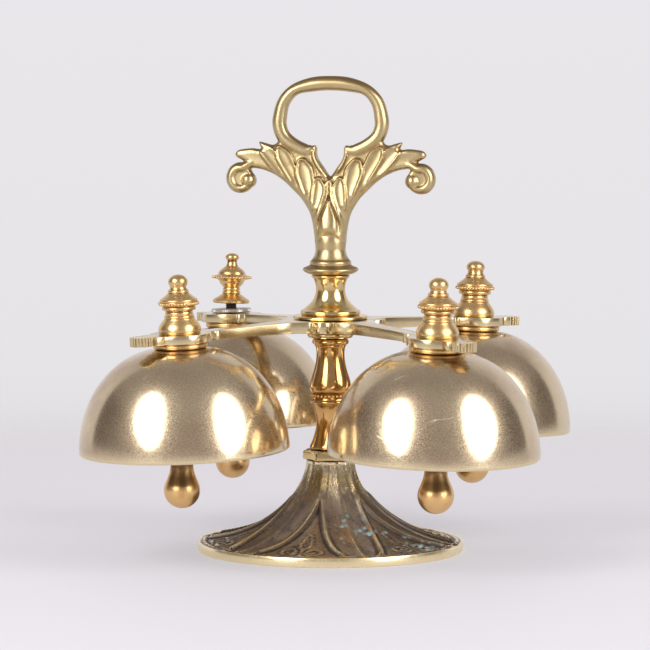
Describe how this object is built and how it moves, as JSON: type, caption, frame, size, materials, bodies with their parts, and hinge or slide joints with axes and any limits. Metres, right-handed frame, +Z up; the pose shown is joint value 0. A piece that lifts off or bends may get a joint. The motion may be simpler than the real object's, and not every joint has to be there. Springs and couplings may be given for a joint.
{
  "type": "sanctus bell",
  "caption": "Altar hand bell: dome bells with swinging clappers under a cast cross, on a turned stem and relief foot, lifted by a leaf handle with an open loop.",
  "frame": {"origin": "centre of the foot's underside, on the stem's axis", "axes": "+Z up along the stem, +X to the right of the handle's plane seen from the front, +Y away from the front; the four arms lie half way between X and Y"},
  "size_m": [0.202, 0.202, 0.212],
  "materials": {
    "foot_patina": "dark patina over cast relief, bright rim",
    "deep_brass": "polished deep gold",
    "pale_brass": "worn cast, pale yellow",
    "orange_brass": "turned, orange gold",
    "bell_bronze": "satin, finely scratched",
    "clapper_bronze": "dull, copper gold",
    "steel": "plain, pale grey",
    "dark_steel": "dull, darkened"
  },
  "bodies": {
    "stand": {"foot": "foot_patina", "hex_collar": "deep_brass", "stem": "deep_brass", "hub_washer": "deep_brass", "cross_spider": "deep_brass", "handle_socket": "deep_brass", "handle": "pale_brass", "tie_rod": "dark_steel", "tie_rod_washer": "dark_steel", "tie_rod_nut": "orange_brass", "stud_nut_back_left": "steel", "finial_front_right": "orange_brass", "bell_stud_front_right": "dark_steel", "bell_washer_front_right": "steel", "bell_front_right": "bell_bronze", "bell_nut_front_right": "orange_brass", "finial_back_right": "orange_brass", "bell_stud_back_right": "dark_steel", "bell_washer_back_right": "steel", "bell_back_right": "bell_bronze", "bell_nut_back_right": "orange_brass", "finial_back_left": "orange_brass", "bell_stud_back_left": "dark_steel", "bell_washer_back_left": "steel", "bell_back_left": "bell_bronze", "bell_nut_back_left": "orange_brass", "finial_front_left": "orange_brass", "bell_stud_front_left": "dark_steel", "bell_washer_front_left": "steel", "bell_front_left": "bell_bronze", "bell_nut_front_left": "orange_brass"},
    "hanger_front_right": {"clapper_stirrup_front_right": "orange_brass", "clapper_pin_front_right": "dark_steel"},
    "clapper_front_right": {"clapper_front_right": "clapper_bronze"},
    "hanger_back_right": {"clapper_stirrup_back_right": "orange_brass", "clapper_pin_back_right": "dark_steel"},
    "clapper_back_right": {"clapper_back_right": "clapper_bronze"},
    "hanger_back_left": {"clapper_stirrup_back_left": "orange_brass", "clapper_pin_back_left": "dark_steel"},
    "clapper_back_left": {"clapper_back_left": "clapper_bronze"},
    "hanger_front_left": {"clapper_stirrup_front_left": "orange_brass", "clapper_pin_front_left": "dark_steel"},
    "clapper_front_left": {"clapper_front_left": "clapper_bronze"}
  },
  "joints": [
    {"name": "front_right_swivel", "type": "hinge", "parent": "stand", "child": "hanger_front_right", "pos_m": [0.05598, -0.05598, 0.08168], "axis": [0.0308, -0.0308, 0.999], "continuous": true},
    {"name": "front_right_swing", "type": "hinge", "parent": "hanger_front_right", "child": "clapper_front_right", "pos_m": [0.05598, -0.05598, 0.08168], "axis": [0.7071, 0.7071, 0], "range_deg": [-43, 48]},
    {"name": "back_right_swivel", "type": "hinge", "parent": "stand", "child": "hanger_back_right", "pos_m": [0.05598, 0.05598, 0.08168], "axis": [0.0308, 0.0308, 0.999], "continuous": true},
    {"name": "back_right_swing", "type": "hinge", "parent": "hanger_back_right", "child": "clapper_back_right", "pos_m": [0.05598, 0.05598, 0.08168], "axis": [-0.7071, 0.7071, 0], "range_deg": [-43, 48]},
    {"name": "back_left_swivel", "type": "hinge", "parent": "stand", "child": "hanger_back_left", "pos_m": [-0.05598, 0.05598, 0.08168], "axis": [-0.0308, 0.0308, 0.999], "continuous": true},
    {"name": "back_left_swing", "type": "hinge", "parent": "hanger_back_left", "child": "clapper_back_left", "pos_m": [-0.05598, 0.05598, 0.08168], "axis": [-0.7071, -0.7071, 0], "range_deg": [-43, 48]},
    {"name": "front_left_swivel", "type": "hinge", "parent": "stand", "child": "hanger_front_left", "pos_m": [-0.05598, -0.05598, 0.08168], "axis": [-0.0308, -0.0308, 0.999], "continuous": true},
    {"name": "front_left_swing", "type": "hinge", "parent": "hanger_front_left", "child": "clapper_front_left", "pos_m": [-0.05598, -0.05598, 0.08168], "axis": [0.7071, -0.7071, 0], "range_deg": [-43, 48]}
  ]
}
